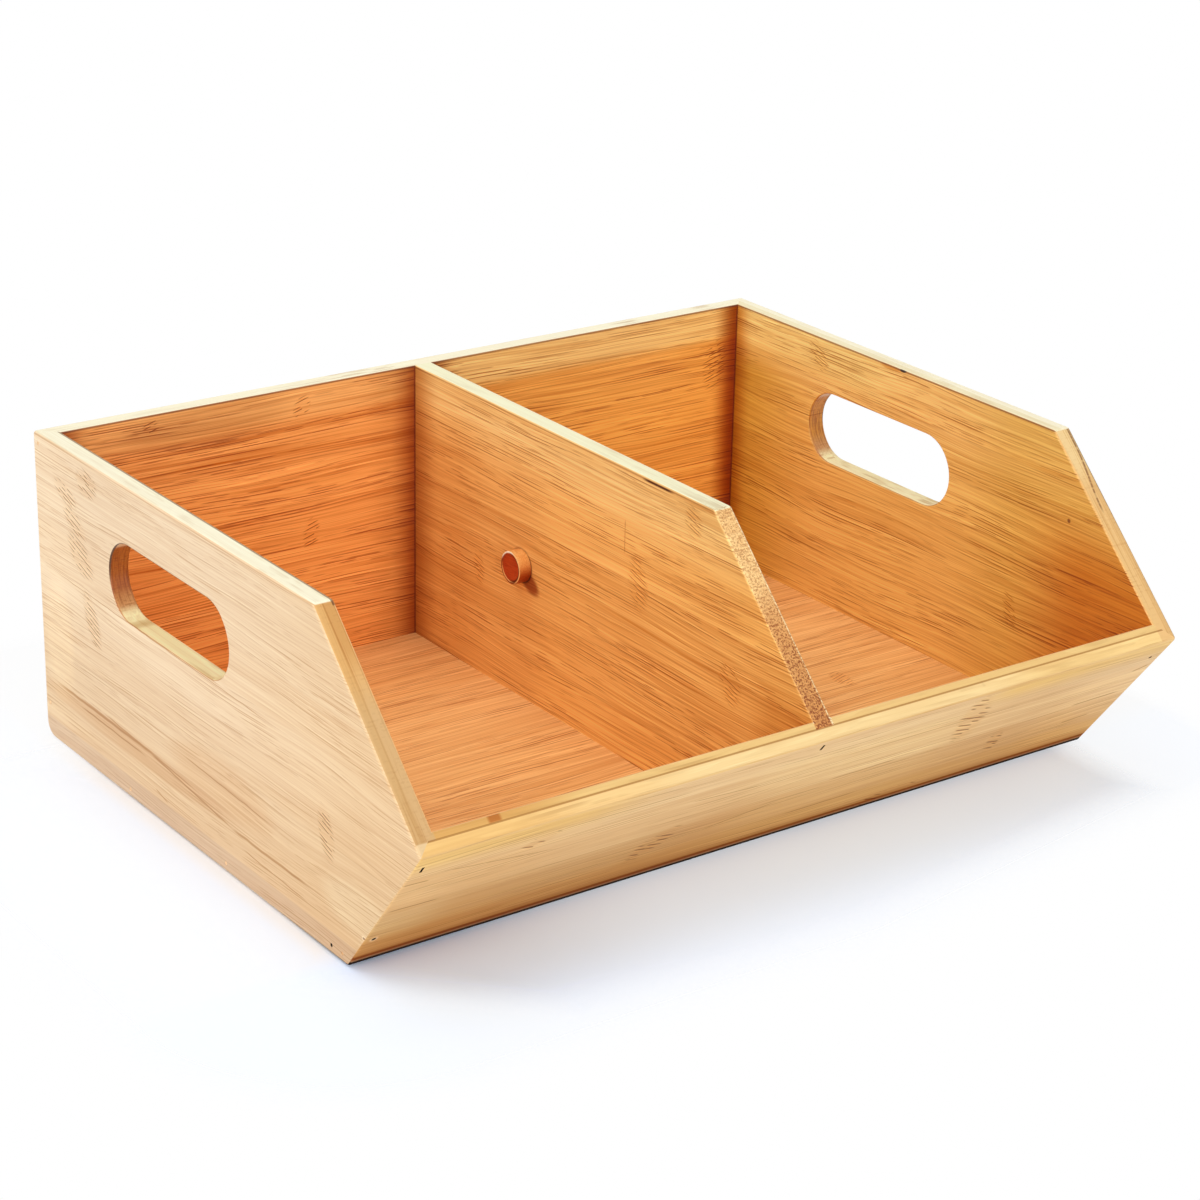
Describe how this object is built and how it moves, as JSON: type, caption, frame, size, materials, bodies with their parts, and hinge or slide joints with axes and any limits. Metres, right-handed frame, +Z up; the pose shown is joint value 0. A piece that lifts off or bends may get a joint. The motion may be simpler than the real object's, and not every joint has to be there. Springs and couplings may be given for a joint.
{
  "type": "two-compartment pantry storage bin",
  "caption": "Low bamboo pantry bin with an open sloping front, a fixed divider between two compartments, and hand holes in its end panels.",
  "frame": {"origin": "middle of the footprint's bounding box, on the underside", "axes": "+X to the right as seen from the open front, +Y from the front to the back panel, +Z up"},
  "size_m": [0.38, 0.3055, 0.1405],
  "materials": {
    "bamboo_left_end": "satin clear lacquer",
    "bamboo_right_end": "satin clear lacquer",
    "bamboo_back": "satin clear lacquer",
    "bamboo_lip": "satin clear lacquer",
    "bamboo_floor": "satin clear lacquer",
    "bamboo_divider": "satin clear lacquer",
    "bamboo_knob": "satin clear lacquer",
    "brad_steel": "dull"
  },
  "bodies": {
    "root": {"left_end_panel": "bamboo_left_end", "right_end_panel": "bamboo_right_end", "back_panel": "bamboo_back", "front_lip": "bamboo_lip", "floor_panel": "bamboo_floor", "divider": "bamboo_divider", "divider_knob": "bamboo_knob", "lip_left_t_brad": "brad_steel", "lip_left_pin_brad": "brad_steel", "lip_right_pin_brad": "brad_steel", "lip_divider_t_brad": "brad_steel", "left_mitre_pin_brad": "brad_steel", "left_floor_pin_brads": "brad_steel", "left_back_pin_brads": "brad_steel", "right_mitre_pin_brad": "brad_steel", "right_floor_pin_brads": "brad_steel", "right_back_pin_brads": "brad_steel", "back_divider_t_brads": "brad_steel", "back_floor_pin_brads": "brad_steel"}
  },
  "joints": []
}
